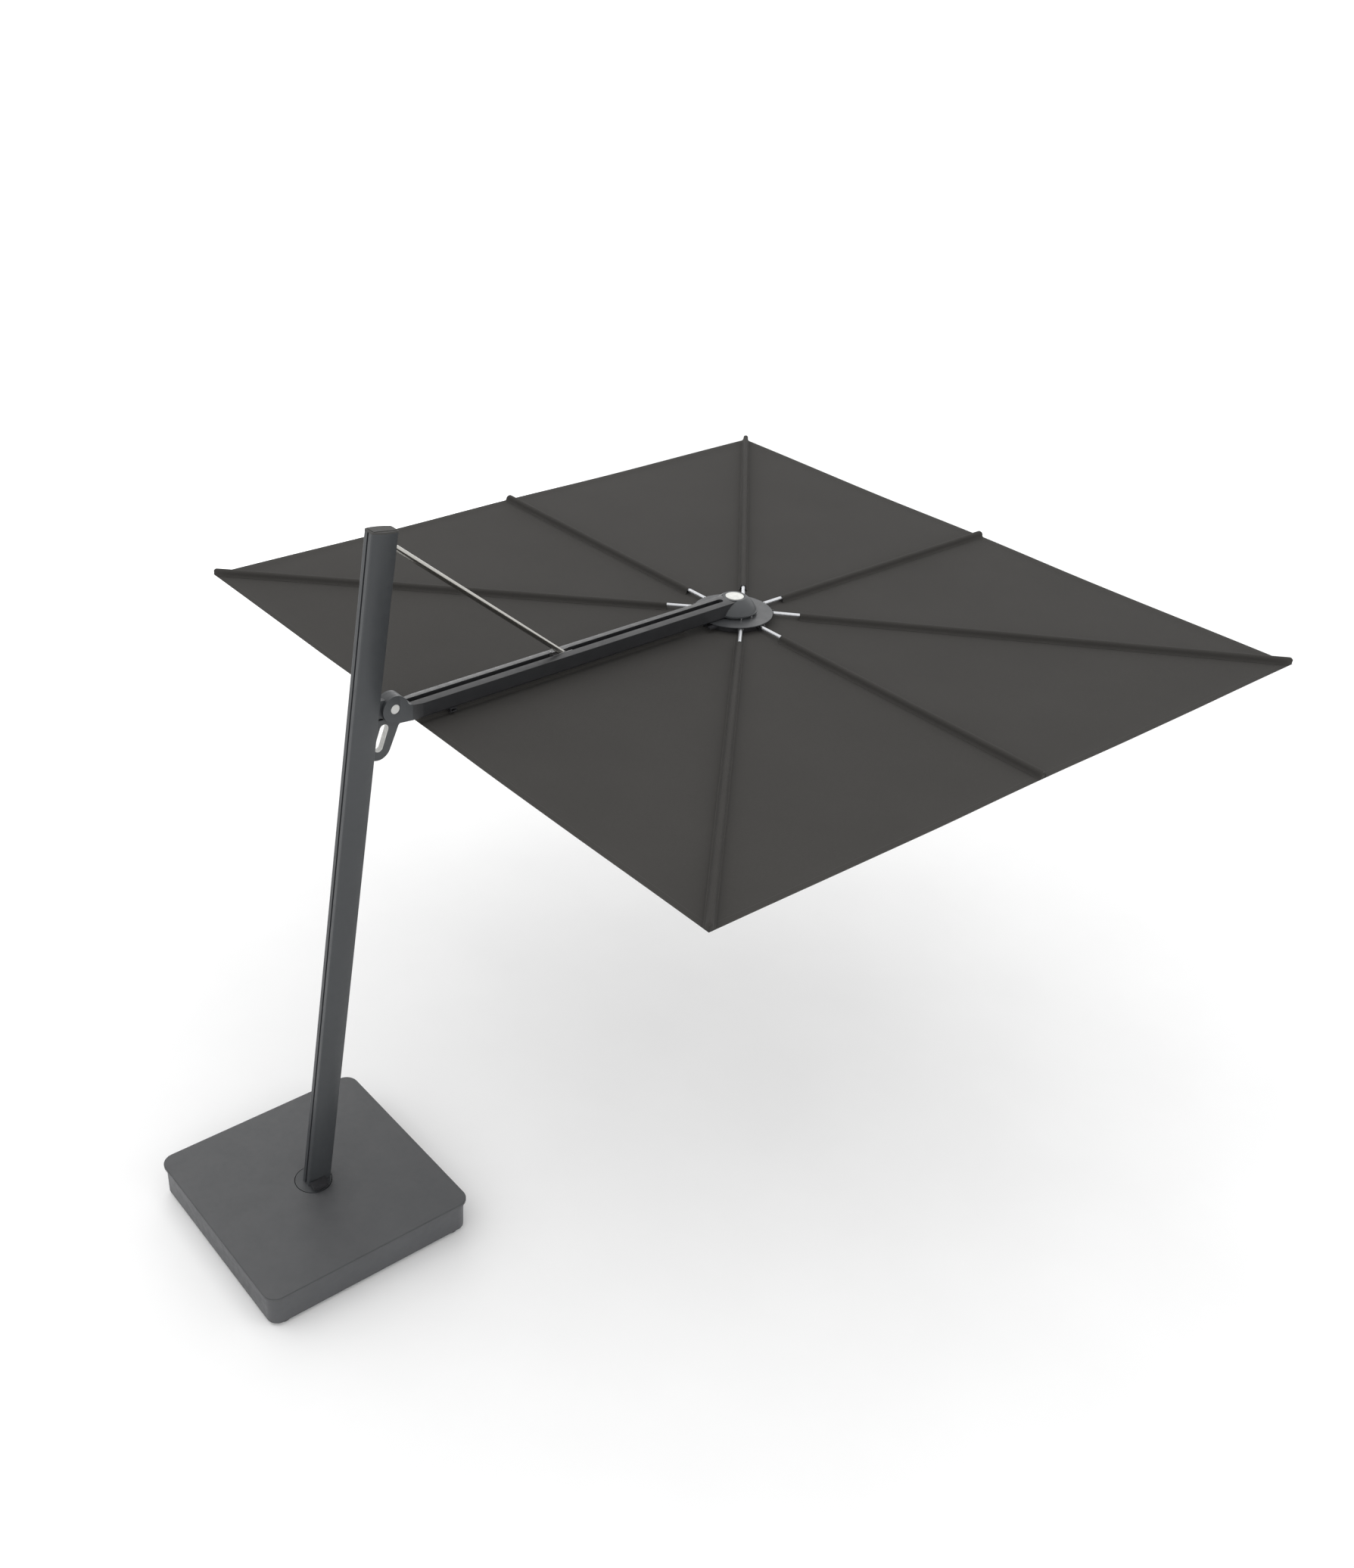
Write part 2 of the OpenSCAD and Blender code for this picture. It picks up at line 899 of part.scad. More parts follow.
base_lid();
base_tray();
ballast_slabs();
base_feet();
bearing_socket();
turntable_plate();
mast_foot();
mast_post();
mast_top_cap();
head_bracket();
foot_pedal();
pedal_pin();
carriage();
glide_pads();
knuckle_fork();
handle_liner();
knuckle_pin();
boom_beam();
boom_housing();
hub_cap();
housing_screws();
anchor_bracket();
boom_clip();
crown_disc();
crown_body();
rib_pins();
canopy_patch();
crown_button();
tie_rod();
tie_ends();
tie_pins();
rib(0);  // rib_1
rib(1);  // rib_2
rib(2);  // rib_3
rib(3);  // rib_4
rib(4);  // rib_5
rib(5);  // rib_6
rib(6);  // rib_7
rib(7);  // rib_8
sleeve(0);  // sleeve_1
sleeve(1);  // sleeve_2
sleeve(2);  // sleeve_3
sleeve(3);  // sleeve_4
sleeve(4);  // sleeve_5
sleeve(5);  // sleeve_6
sleeve(6);  // sleeve_7
sleeve(7);  // sleeve_8
panel(0);  // panel_1
panel(1);  // panel_2
panel(2);  // panel_3
panel(3);  // panel_4
panel(4);  // panel_5
panel(5);  // panel_6
panel(6);  // panel_7
panel(7);  // panel_8
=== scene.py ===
import math
import bpy
from mathutils import Matrix, Vector


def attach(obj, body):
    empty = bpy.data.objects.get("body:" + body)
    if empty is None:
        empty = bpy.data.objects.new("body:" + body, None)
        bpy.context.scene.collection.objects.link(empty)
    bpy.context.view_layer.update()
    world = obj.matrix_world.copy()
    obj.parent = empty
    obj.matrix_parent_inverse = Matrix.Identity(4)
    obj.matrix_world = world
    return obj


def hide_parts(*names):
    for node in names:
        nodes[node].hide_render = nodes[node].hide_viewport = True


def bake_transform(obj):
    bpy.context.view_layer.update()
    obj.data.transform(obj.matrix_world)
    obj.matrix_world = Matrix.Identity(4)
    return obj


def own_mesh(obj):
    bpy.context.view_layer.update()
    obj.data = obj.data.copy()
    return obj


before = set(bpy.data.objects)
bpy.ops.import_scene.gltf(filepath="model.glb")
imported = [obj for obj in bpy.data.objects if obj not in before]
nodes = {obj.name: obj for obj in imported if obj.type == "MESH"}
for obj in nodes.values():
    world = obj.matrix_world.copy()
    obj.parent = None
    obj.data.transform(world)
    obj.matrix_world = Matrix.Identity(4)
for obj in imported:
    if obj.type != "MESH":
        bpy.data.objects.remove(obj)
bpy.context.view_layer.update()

# Sizes, in metres, in the row frame
LIFT = 0.163                 # top of the base lid
HUB_X = 2.022                # canopy centre in front of the swivel axis
HALF = 1.5                   # half the canopy's side
FAB_Z = LIFT + 1.930         # middle of the fabric
RIB_Z = LIFT + 1.9465        # rib axes
PATCH_R = 0.1385             # radius of the round patch, which laps under the sectors
HALF_SECTOR = math.radians(22.5)

# Where the lines of the ribs cross the boom's centreline, in front of the canopy's centre
CORNER_AIM, SIDE_AIM = 0.055, 0.007
CORNER_OUT = math.atan2(HALF, HALF - CORNER_AIM)
CORNER_IN = math.atan2(HALF, -HALF - CORNER_AIM)
RIBS = [  # direction, aim, middle of the sector in degrees
    (CORNER_OUT, CORNER_AIM, 45), (math.pi / 2, SIDE_AIM, 90),
    (CORNER_IN, CORNER_AIM, 135), (math.pi, 0.0, 180),
    (-CORNER_IN, CORNER_AIM, 225), (-math.pi / 2, SIDE_AIM, 270),
    (-CORNER_OUT, CORNER_AIM, 315), (0.0, 0.0, 0),
]

# Camera, fitted to the canopy, the base and the boom: bearing, downward pitch and roll in degrees
YAW, PITCH, ROLL = 52.830, 34.687, 1.4443
CAMERA_PLACE = (-2.12284, -4.01194, 4.59056 + LIFT)
LENS, SHIFT = 35.988, (0.1107, 0.0605)

SKY = 1.26
LAMPS = [  # name, place, aim, diameter in metres, power in watts
    ("key", (-3.5, 1.5, 7.0), (1.2, 0, 1.0), 5.0, 38),
    ("fill", (4.5, -6.0, 3.0), (0.6, 0, 1.0), 4.0, 12),
    ("back", (4.0, 6.5, 1.4), (1.8, 0, 0.2), 4.5, 85),
]
FLOOR_HALF = 40

# Weave, seams and hems
THREAD = 0.0011              # one thread over and one under
STITCH = 0.0046              # from one stitch to the next
STITCHED = 0.72              # share of that which shows as thread
RIB_SEAM = 0.0185            # stitches beside a sleeve, from the rib's line
HEM_SEAMS = (0.0045, 0.0255)  # stitches along the hem, from the edge
HEM_FOLD, HEM_RISE = 0.0275, 0.0004   # width of the hem, and how far it stands up
PATCH_SEAM = 0.006
PATCH_DROP = 0.0006          # how far the patch lies under the sectors
DIP, RIPPLE = 0.0042, 0.0006  # sag of the cloth between two ribs, and its unevenness

# Edges of the rings that each sector is cut into; the last ring runs to the hem
PAST_RIM = 9.0
RINGS = [0.138, 0.185, 0.222, 0.27, 0.33, 0.405, 0.50, 0.62, 0.77, 0.96, 1.19, PAST_RIM]
COLS = 40                    # faces across a sector
HEM_ZONE = 0.031             # from the edge to where the rows of the hem begin
HEM_ROWS = (0.029, 0.0268, 0.012, 0.0)

# Sleeves
SLEEVE_START = 0.265         # from the canopy's centre
SLEEVE_STEP = 0.02
SLEEVE_CORNER_GAP, SLEEVE_SIDE_GAP = 0.004, 0.0012   # from a sleeve's tip to the canopy's edge
SLEEVE_TIP_ZONE = 0.03       # from the tip to where its closer rows begin
SLEEVE_TIP = (0.022, 0.014, 0.008, 0.004, 0.0015, 0.0)
SLEEVE_TIP_R = 0.012         # length of the rounded tip
SLEEVE_TIP_DROP = 0.30       # share of its height that the sleeve loses over the tip
SLEEVE_TUBE = 0.0135         # half the tube's width; the rest is its flat flange
SLEEVE_SEAM = 0.0175         # the row of stitches on the flange
SLEEVE_BED = 0.0012          # the sleeve's foot above the cloth's middle
SLEEVE_HALF = [  # one side of the section: across, and above the foot
    (-0.0185, 0.0), (-0.0170, 0.0004), (-0.0150, 0.0016), (-0.0128, 0.0046), (-0.0116, 0.0092),
    (-0.0112, 0.0142), (-0.0100, 0.0188), (-0.0074, 0.0225), (-0.0040, 0.0243), (0.0, 0.0248),
]


def reach(k, r):
    """Distance along rib k's line, from its aim point, to radius r about the canopy's centre."""
    a, aim, _ = RIBS[k]
    return -aim * math.cos(a) + math.sqrt(r * r - (aim * math.sin(a)) ** 2)


def rib_length(k):
    """Distance along rib k's line, from its aim point, to the canopy's side or corner."""
    a, aim, _ = RIBS[k]
    if k % 2:
        return HALF
    return math.hypot(math.copysign(HALF, math.cos(a)) - aim, HALF)


# ---------------------------------------------------------------- camera and light

def make_camera():
    yaw, pitch, roll = (math.radians(angle) for angle in (YAW, PITCH, ROLL))
    forward = Vector((math.cos(pitch) * math.cos(yaw), math.cos(pitch) * math.sin(yaw),
                      -math.sin(pitch)))
    level = Vector((math.sin(yaw), -math.cos(yaw), 0))
    upright = level.cross(forward)
    right = math.cos(roll) * level + math.sin(roll) * upright
    up = -math.sin(roll) * level + math.cos(roll) * upright
    data = bpy.data.cameras.new("camera")
    data.sensor_fit, data.sensor_width = "AUTO", 36
    data.lens = LENS
    data.shift_x, data.shift_y = SHIFT
    data.clip_end = 100
    cam = bpy.data.objects.new("camera", data)
    bpy.context.scene.collection.objects.link(cam)
    place = Matrix((right, up, -forward)).transposed().to_4x4()
    place.translation = CAMERA_PLACE
    cam.matrix_world = place
    bpy.context.scene.camera = cam


def make_light():
    world = bpy.data.worlds.new("studio")
    bpy.context.scene.world = world
    world.use_nodes = True
    sky = world.node_tree.nodes["Background"]
    sky.inputs["Color"].default_value = (1, 1, 1, 1)
    sky.inputs["Strength"].default_value = SKY
    for name, place, aim, size, power in LAMPS:
        data = bpy.data.lights.new(name, "AREA")
        data.shape, data.size, data.energy = "DISK", size, power
        lamp = bpy.data.objects.new(name, data)
        bpy.context.scene.collection.objects.link(lamp)
        lamp.location = place
        line = Vector(aim) - Vector(place)
        lamp.rotation_euler = line.to_track_quat("-Z", "Y").to_euler()
    bpy.context.scene.view_settings.view_transform = "Standard"


# ---------------------------------------------------------------- materials

class Nodes:
    """A short way to write one material's nodes."""

    def __init__(self, name):
        self.mat = bpy.data.materials.new(name)
        self.mat.use_nodes = True
        self.tree = self.mat.node_tree
        self.shader = self.tree.nodes["Principled BSDF"]

    def add(self, kind, inputs=(), **props):
        node = self.tree.nodes.new(kind)
        for key, value in props.items():
            setattr(node, key, value)
        for key, value in dict(inputs).items():
            if isinstance(value, bpy.types.NodeSocket):
                self.tree.links.new(value, node.inputs[key])
            else:
                node.inputs[key].default_value = value
        return node

    def math(self, op, a, b=None, c=None):
        values = {i: v for i, v in enumerate((a, b, c)) if v is not None}
        return self.add("ShaderNodeMath", values, operation=op).outputs[0]

    def object_coords(self, stretch=(1, 1, 1)):
        co = self.add("ShaderNodeTexCoord").outputs["Object"]
        return self.add("ShaderNodeMapping", {"Vector": co, "Scale": stretch}).outputs[0]

    def noise(self, co, scale, detail=3.0, rough=0.5):
        node = self.add("ShaderNodeTexNoise", {"Vector": co, "Scale": scale, "Detail": detail,
                                               "Roughness": rough})
        return node.outputs["Fac"]

    def ramp(self, value, low, high, to=(0, 1)):
        node = self.add("ShaderNodeMapRange", {"Value": value, "From Min": low, "From Max": high,
                                               "To Min": to[0], "To Max": to[1]})
        return node.outputs[0]

    def mix(self, factor, a, b):
        node = self.add("ShaderNodeMix", data_type="RGBA")
        sockets = node.inputs[0], node.inputs[6], node.inputs[7]
        for socket, value in zip(sockets, (factor, a, b)):
            if isinstance(value, bpy.types.NodeSocket):
                self.tree.links.new(value, socket)
            else:
                socket.default_value = value
        return node.outputs[2]

    def to(self, name, value):
        if isinstance(value, bpy.types.NodeSocket):
            self.tree.links.new(value, self.shader.inputs[name])
        else:
            self.shader.inputs[name].default_value = value

    def bump(self, height, strength, distance):
        node = self.add("ShaderNodeBump", {"Height": height, "Strength": strength,
                                           "Distance": distance})
        self.to("Normal", node.outputs[0])


def rgb(color, k=1.0):
    return tuple(min(1, c * k) for c in color) + (1,)


def coat(name, color, rough, grain=1400, grit=0.25, dust_and_top_light=0.12):
    """Powder coat: fine orange peel, faint cloudiness, and a pale grey where it faces up that is
    partly settled dirt and partly painted light on the tops.
    """
    n = Nodes(name)
    co = n.object_coords()
    cloud = n.noise(co, 3.1, 4)
    speck = n.noise(co, grain, 2, 0.7)
    tone = n.mix(n.ramp(cloud, 0.3, 0.7), rgb(color, 0.93), rgb(color, 1.07))
    tone = n.mix(n.ramp(speck, 0.55, 0.8, (0, 0.35)), tone, rgb(color, 1.35))
    normal = n.add("ShaderNodeNewGeometry").outputs["Normal"]
    facing = n.add("ShaderNodeSeparateXYZ", {0: normal}).outputs[2]
    # painted light: the pale grey mixed into up-facing faces is partly settled dirt and partly
    # stands in for the bright sky on the tops
    dust_and_top_light_patches = n.ramp(n.noise(co, 11, 5, 0.6), 0.35, 0.75, (0, dust_and_top_light))
    patch = n.math("MULTIPLY", n.ramp(facing, 0.55, 1.0), dust_and_top_light_patches)
    n.to("Base Color", n.mix(patch, tone, (0.42, 0.41, 0.39, 1)))
    n.to("Roughness", n.ramp(n.noise(co, 37, 3), 0.3, 0.7, (rough - 0.05, rough + 0.07)))
    n.bump(speck, grit, 0.0004)
    return n.mat


def metal(name, color, rough, along=(1, 1, 30), grit=0.12, metallic=1.0):
    """Drawn or brushed metal: streaks run along the axis whose stretch is smallest."""
    n = Nodes(name)
    streak = n.noise(n.object_coords(along), 90, 4, 0.6)
    smudge = n.noise(n.object_coords(), 14, 3)
    n.to("Base Color", n.mix(n.ramp(streak, 0.3, 0.7), rgb(color, 0.9), rgb(color, 1.06)))
    n.to("Metallic", metallic)
    n.to("Roughness", n.ramp(smudge, 0.3, 0.75, (rough * 0.8, rough * 1.35)))
    n.bump(streak, grit, 0.0003)
    return n.mat


def plastic(name, color, rough, grain=2200, grit=0.2, clear=0.0):
    """Moulded plastic: fine spark-eroded grain, uneven sheen, rubbed lighter in patches."""
    n = Nodes(name)
    co = n.object_coords()
    grain_map = n.noise(co, grain, 2, 0.6)
    worn = n.noise(co, 60, 4, 0.65)
    n.to("Base Color", n.mix(n.ramp(worn, 0.45, 0.8), rgb(color, 0.95), rgb(color, 1.22)))
    n.to("Roughness", n.ramp(worn, 0.3, 0.7, (rough - 0.04, rough + 0.1)))
    n.to("Coat Weight", clear)
    n.bump(grain_map, grit, 0.0003)
    return n.mat


def concrete(name, color):
    """Cast concrete: sand, pores and cloudy patches."""
    n = Nodes(name)
    co = n.object_coords()
    pores = n.add("ShaderNodeTexVoronoi", {"Vector": co, "Scale": 160}).outputs["Distance"]
    sand = n.noise(co, 420, 4, 0.7)
    tone = n.mix(n.ramp(n.noise(co, 9, 5), 0.3, 0.7), rgb(color, 0.82), rgb(color, 1.1))
    n.to("Base Color", n.mix(n.ramp(pores, 0.0, 0.18, (0.6, 0)), tone, rgb(color, 0.5)))
    n.to("Roughness", 0.92)
    n.bump(n.math("ADD", sand, n.ramp(pores, 0, 0.2)), 0.5, 0.001)
    return n.mat


def cloth(name, color, seams):
    """Awning cloth: over-and-under weave on the UV map in metres, slubs, fading, and rows
    of stitches. seams are (uv map, distance across in metres), u of that map running along
    the row."""
    n = Nodes(name)
    uv = n.add("ShaderNodeUVMap", uv_map="weave").outputs[0]
    xyz = n.add("ShaderNodeSeparateXYZ", {0: uv}).outputs
    warp = n.math("SINE", n.math("MULTIPLY", xyz[0], math.tau / THREAD))
    weft = n.math("SINE", n.math("MULTIPLY", xyz[1], math.tau / THREAD))
    over = n.math("MULTIPLY", warp, weft)
    slub, slub2 = (
        n.noise(n.add("ShaderNodeMapping", {"Vector": uv, "Scale": drawn}).outputs[0], 60, 4, 0.6)
        for drawn in ((1, 14, 1), (14, 1, 1))
    )
    slubs = n.math("ADD", slub, slub2)
    fade = n.noise(uv, 2.3, 5, 0.55)
    tone = n.mix(n.ramp(fade, 0.3, 0.7), rgb(color, 0.95), rgb(color, 1.06))
    tone = n.mix(n.ramp(over, -1, 1, (0.0, 0.30)), tone, rgb(color, 1.3))
    tone = n.mix(n.ramp(slubs, 0.8, 1.25, (0, 0.35)), tone, rgb(color, 0.78))
    height = n.math("MULTIPLY_ADD", over, 0.35, n.math("MULTIPLY", slubs, 0.6))
    for uv_map, across in seams:
        seam_uv = n.add("ShaderNodeUVMap", uv_map=uv_map).outputs[0]
        along = n.add("ShaderNodeSeparateXYZ", {0: seam_uv}).outputs
        near = n.math("ABSOLUTE", n.math("SUBTRACT", along[1], across))
        row = n.ramp(near, 0.0006, 0.0012, (1, 0))
        phase = n.math("FRACT", n.math("MULTIPLY", along[0], 1 / STITCH))
        stitch = n.math("MULTIPLY", row, n.math("LESS_THAN", phase, STITCHED))
        dip = n.ramp(near, 0.001, 0.0045, (1, 0))
        # painted shade: the cloth is darkened in the groove the stitches pull in beside each row
        tone = n.mix(n.math("MULTIPLY", dip, 0.25), tone, rgb(color, 0.6))
        tone = n.mix(stitch, tone, rgb(color, 1.5))
        height = n.math("MULTIPLY_ADD", dip, -1.4, height)
        height = n.math("ADD", height, n.math("MULTIPLY", stitch, 1.6))
    n.to("Base Color", tone)
    n.to("Roughness", n.ramp(slub, 0.3, 0.7, (0.9, 1.0)))
    n.to("Specular IOR Level", 0.12)
    n.to("Sheen Weight", 0.03)
    n.to("Sheen Roughness", 0.5)
    n.bump(height, 0.35, 0.0005)
    return n.mat


ANTHRACITE = (0.034, 0.037, 0.040)
CHARCOAL = (0.0428, 0.0409, 0.0384)
# painted shade: the sleeves are of the canopy's own cloth; this copy is a little darker, for the
# shade on their sides
SHADED_SLEEVE_CLOTH = (0.0405, 0.0387, 0.0363)
M = {
    "frame": coat("frame_coat", ANTHRACITE, 0.40, dust_and_top_light=0.04),
    # painted shade: a darker copy of the frame's anthracite, so the boom's sides look shaded by
    # the canopy under them
    "boom": coat("boom_coat", (0.019, 0.0195, 0.021), 0.36, dust_and_top_light=0.06),
    # painted light: a lighter copy of the frame's anthracite, for the up-facing disc that sees
    # the bright sky
    "disc": coat("disc_coat_lit", (0.042, 0.044, 0.047), 0.33, dust_and_top_light=0.03),
    "lid": coat("lid_coat", (0.056, 0.0575, 0.0605), 0.48, grain=900, grit=0.4, dust_and_top_light=0.02),
    "tray": coat("tray_coat", (0.06, 0.062, 0.066), 0.45, dust_and_top_light=0.02),
    "steel": metal("brushed_steel", (0.58, 0.58, 0.58), 0.30),
    "bright": metal("polished_rod", (0.42, 0.41, 0.385), 0.17, along=(1, 30, 1), grit=0.04),
    "alu": metal("anodised_rib", (0.60, 0.61, 0.63), 0.36, along=(1, 1, 1), grit=0.06,
                 metallic=0.7),
    "iron": metal("machined_iron", (0.22, 0.22, 0.23), 0.5, along=(1, 1, 12)),
    "black": plastic("dark_plastic", (0.022, 0.022, 0.024), 0.30),
    "top": plastic("cap_plastic", (0.040, 0.039, 0.037), 0.7),
    "cap": plastic("light_cap", (0.50, 0.50, 0.485), 0.42, grit=0.1),
    "silver": plastic("silver_cap", (0.62, 0.62, 0.59), 0.3, grit=0.08, clear=0.3),
    "nylon": plastic("nylon", (0.72, 0.72, 0.69), 0.45),
    "rubber": plastic("rubber", (0.02, 0.02, 0.02), 0.75, grain=900, grit=0.35),
    "slab": concrete("concrete", (0.42, 0.41, 0.39)),
    "cloth": cloth("canopy_cloth", CHARCOAL,
                   [("rib", RIB_SEAM)] + [("hem", across) for across in HEM_SEAMS]),
    "patch": cloth("patch_cloth", CHARCOAL, [("hem", PATCH_SEAM)]),
    "sleeve": cloth("sleeve_cloth", SHADED_SLEEVE_CLOTH, [("rib", 0.0)]),
}
PAINT = {
    "frame": ["turntable_plate", "mast_post", "carriage", "knuckle_fork", "boom_housing"],
    "disc": ["crown_disc"],
    "boom": ["boom_beam"], "lid": ["base_lid"], "tray": ["base_tray"], "slab": ["ballast_slabs"],
    "rubber": ["base_feet"], "iron": ["bearing_socket", "mast_foot"], "nylon": ["glide_pads"],
    "top": ["mast_top_cap"],
    "black": ["foot_pedal", "boom_clip", "crown_body", "crown_button"],
    "steel": ["head_bracket", "pedal_pin", "housing_screws", "anchor_bracket", "rib_pins",
              "tie_ends", "tie_pins"],
    "bright": ["tie_rod"], "cap": ["knuckle_pin", "handle_liner"], "silver": ["hub_cap"],
    "alu": [f"rib_{k}" for k in range(1, 9)],
}
BEVEL = {  # rounding of the sharp edges, in metres
    "base_lid": 0.002, "base_tray": 0.002, "knuckle_fork": 0.0022, "mast_top_cap": 0.0012,
    "foot_pedal": 0.0025, "carriage": 0.0015, "boom_beam": 0.0012, "boom_clip": 0.0012,
    "knuckle_pin": 0.001, "hub_cap": 0.0008, "turntable_plate": 0.001, "ballast_slabs": 0.004,
    "boom_housing": 0.0015, "crown_disc": 0.0006, "base_feet": 0.002,
}


def finish_cad_nodes():
    """Paints the CAD nodes that stay in view, and rounds their sharp edges."""
    for mat, names in PAINT.items():
        for name in names:
            data = nodes[name].data
            data.materials.clear()
            data.materials.append(M[mat])
    for name, width in BEVEL.items():
        o = nodes[name]
        weld = o.modifiers.new("weld", "WELD")
        weld.merge_threshold = 0.00002
        bevel = o.modifiers.new("edge", "BEVEL")
        bevel.width, bevel.segments, bevel.limit_method = width, 2, "ANGLE"
        bevel.angle_limit = math.radians(38)
        bevel.use_clamp_overlap = True
        bevel.harden_normals = False
        o.modifiers.new("shade", "WEIGHTED_NORMAL").keep_sharp = True


# ---------------------------------------------------------------- cloth

def make_mesh(name, points, faces, maps=(), smooth=True):
    """An object from points and faces; maps is {uv map: one (u, v) for each point}."""
    mesh = bpy.data.meshes.new(name)
    mesh.from_pydata(points, [], faces)
    for label, values in dict(maps).items():
        layer = mesh.uv_layers.new(name=label)
        for loop in mesh.loops:
            layer.data[loop.index].uv = values[loop.vertex_index]
    mesh.polygons.foreach_set("use_smooth", [smooth] * len(mesh.polygons))
    mesh.update()
    o = bpy.data.objects.new(name, mesh)
    bpy.context.scene.collection.objects.link(o)
    return o


def edge_radius(corner, phi):
    """Distance from the canopy's centre to its edge at angle phi from the sector's middle."""
    return HALF / math.cos(math.pi / 4 - abs(phi)) if corner else HALF / math.cos(phi)


def cloth_height(x, y, phi, r):
    """How far the taut cloth dips between two ribs."""
    dip = math.sin(math.pi * abs(phi) / (math.pi / 4)) ** 2
    ease = min(1, max(0, (r - 0.25) / 0.9))
    ripple = RIPPLE * math.sin(9 * x + 2.1) * math.sin(8 * y + 0.6) * ease
    return -DIP * dip * ease * ease * (3 - 2 * ease) + ripple * dip


def sector_rows(r0, r1):
    """How each row of points of a ring is placed: "r" from the centre, "t" as a share of
    the way to the hem, "d" inwards from the edge."""
    if r1 < PAST_RIM:
        steps = 4 if r0 > RINGS[0] else 6
        return [("r", r0 + (r1 - r0) * j / steps) for j in range(steps + 1)]
    steps = 10
    return [("t", j / steps) for j in range(steps)] + [("d", depth) for depth in HEM_ROWS]


def ring_mesh(k, number, r0, r1):
    """The mesh of one ring of sector k's cloth."""
    angle, aim, middle = RIBS[k]
    corner = k % 2 == 0
    mid = math.radians(middle)
    along = Vector((math.cos(angle), math.sin(angle), 0))
    across = Vector((-along.y, along.x, 0))
    root = Vector((HUB_X + aim, 0, 0))
    rows = sector_rows(r0, r1)
    points, weave, rib_map, hem_map = [], [], [], []
    for kind, value in rows:
        for c in range(COLS + 1):
            phi = HALF_SECTOR * (2 * c / COLS - 1)
            rim = edge_radius(corner, phi)
            to_edge = math.cos(math.pi / 4 - abs(phi)) if corner else math.cos(phi)
            if kind == "r":
                r = value
            elif kind == "t":
                r = r0 + (rim - HEM_ZONE / to_edge - r0) * value
            else:
                r = rim - value / to_edge
            x, y = r * math.cos(mid + phi), r * math.sin(mid + phi)
            depth = (rim - r) * to_edge
            rise = HEM_RISE if depth < HEM_FOLD else 0.0
            points.append((HUB_X + x, y, FAB_Z + cloth_height(x, y, phi, r) + rise))
            weave.append((x, y))
            offset = Vector((HUB_X + x, y, 0)) - root
            rib_map.append((offset.dot(along), abs(offset.dot(across))))
            slide = r * math.sin(math.pi / 4 - abs(phi)) if corner else r * math.sin(phi)
            hem_map.append((slide + 2, depth))
    w = COLS + 1
    faces = [(a, a + w, a + w + 1, a + 1) for j in range(len(rows) - 1)
             for a in range(j * w, j * w + COLS)]
    o = make_mesh(f"cloth_{k + 1}_{number}", points, faces,
                  {"weave": weave, "rib": rib_map, "hem": hem_map})
    o.data.materials.append(M["cloth"])
    return o


def make_sector(k):
    """The cloth of one sector, in rings; every ring but the first rides on the sector's rib."""
    for number, (r0, r1) in enumerate(zip(RINGS, RINGS[1:]), 1):
        o = ring_mesh(k, number, r0, r1)
        if number == 1:
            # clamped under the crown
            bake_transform(o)
        else:
            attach(o, f"rib_{k + 1}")
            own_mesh(o)
        if r1 == PAST_RIM:
            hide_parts(f"panel_{k + 1}")


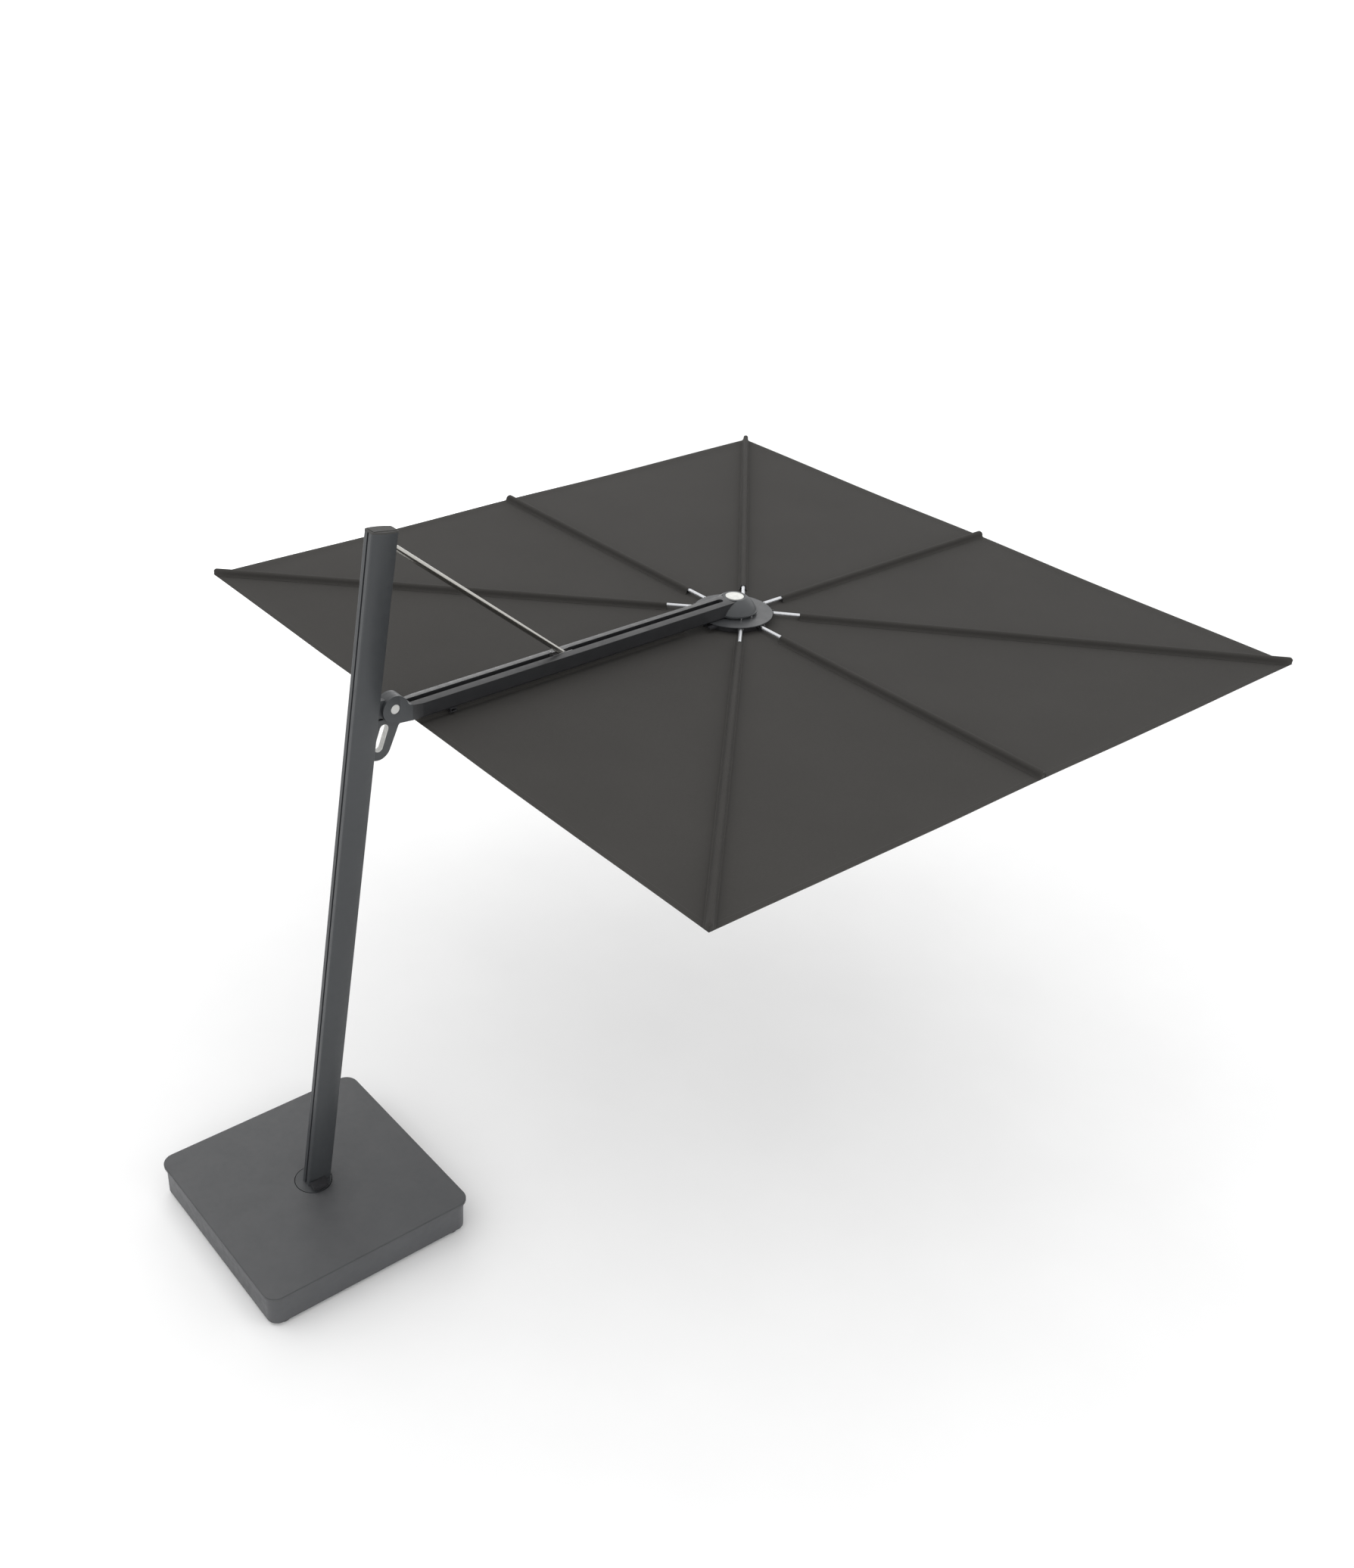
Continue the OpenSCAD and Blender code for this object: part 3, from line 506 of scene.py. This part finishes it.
def make_sleeve(k):
    """The sewn tube that holds a rib on the cloth: open at the crown, closed over the tip."""
    angle, aim, _ = RIBS[k]
    corner = k % 2 == 0
    start = reach(k, SLEEVE_START)
    end = rib_length(k) - (SLEEVE_CORNER_GAP if corner else SLEEVE_SIDE_GAP)
    low = FAB_Z + SLEEVE_BED - RIB_Z
    section = [(y, low + z) for y, z in SLEEVE_HALF]
    section += [(-y, z) for y, z in reversed(section[:-1])]
    count = int((end - start) / SLEEVE_STEP)
    straight = end - start - SLEEVE_TIP_ZONE
    stations = [start + straight * j / count for j in range(count + 1)]
    stations += [end - gap for gap in SLEEVE_TIP]
    points, rib_map, weave = [], [], []
    for s in stations:
        gap = end - s
        round_off = 1 - max(0, 1 - gap / SLEEVE_TIP_R) ** 2 * SLEEVE_TIP_DROP
        slack = 1 + 0.035 * math.sin(31 * s + k) * math.sin(7.3 * s + 2 * k)
        for y, z in section:
            zz = low + (z - low) * round_off * (1 + (slack - 1) * 0.4)
            yy = y * slack if abs(y) < SLEEVE_TUBE else y
            if corner:
                # the sleeve narrows into the canopy's corner
                yy = math.copysign(min(abs(yy), max(0.0005, gap + 0.003)), yy)
            points.append((s, yy, zz))
            rib_map.append((s, abs(abs(yy) - SLEEVE_SEAM)))
            weave.append((s, y + z))
    w = len(section)
    faces = [(a, a + w, a + w + 1, a + 1) for j in range(len(stations) - 1)
             for a in range(j * w, j * w + w - 1)]
    last = (len(stations) - 1) * w
    faces.append(tuple(range(last, last + w)))
    o = make_mesh(f"sleeve_cloth_{k + 1}", points, faces, {"weave": weave, "rib": rib_map})
    place = Matrix.Translation((HUB_X + aim, 0, RIB_Z)) @ Matrix.Rotation(angle, 4, "Z")
    o.data.transform(place)
    o.data.materials.append(M["sleeve"])
    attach(o, f"rib_{k + 1}")
    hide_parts(f"sleeve_{k + 1}")


def make_patch():
    """The round cloth patch that closes the canopy under the crown."""
    rings, cols = [0.012, 0.05, 0.09, 0.12, 0.131, PATCH_R], 64
    points, weave, hem = [], [], []
    for r in rings:
        for c in range(cols):
            a = math.tau * c / cols
            x, y = r * math.cos(a), r * math.sin(a)
            points.append((HUB_X + x, y, FAB_Z - PATCH_DROP))
            weave.append((x, y))
            hem.append((a * r, PATCH_R - r))
    faces = []
    for j in range(len(rings) - 1):
        inner, outer = j * cols, (j + 1) * cols
        for c in range(cols):
            after = (c + 1) % cols
            faces.append((inner + c, outer + c, outer + after, inner + after))
    faces.append(tuple(range(cols)))
    o = make_mesh("crown_patch", points, faces, {"weave": weave, "hem": hem})
    o.data.materials.append(M["patch"])
    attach(o, "boom")
    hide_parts("canopy_patch")


# ---------------------------------------------------------------- scene

def make_floor():
    h = FLOOR_HALF
    points = [(-h, -h, 0), (h, -h, 0), (h, h, 0), (-h, h, 0)]
    floor = make_mesh("floor", points, [(0, 1, 2, 3)], smooth=False)
    n = Nodes("floor_paint")
    cloud = n.ramp(n.noise(n.object_coords(), 1.7, 3), 0.3, 0.7)
    n.to("Base Color", n.mix(cloud, (0.86, 0.86, 0.86, 1), (0.88, 0.88, 0.88, 1)))
    n.to("Roughness", 0.9)
    n.to("Specular IOR Level", 0.1)
    floor.data.materials.append(n.mat)


make_camera()
make_light()
make_floor()
finish_cad_nodes()
for k in range(8):
    make_sector(k)
    make_sleeve(k)
make_patch()
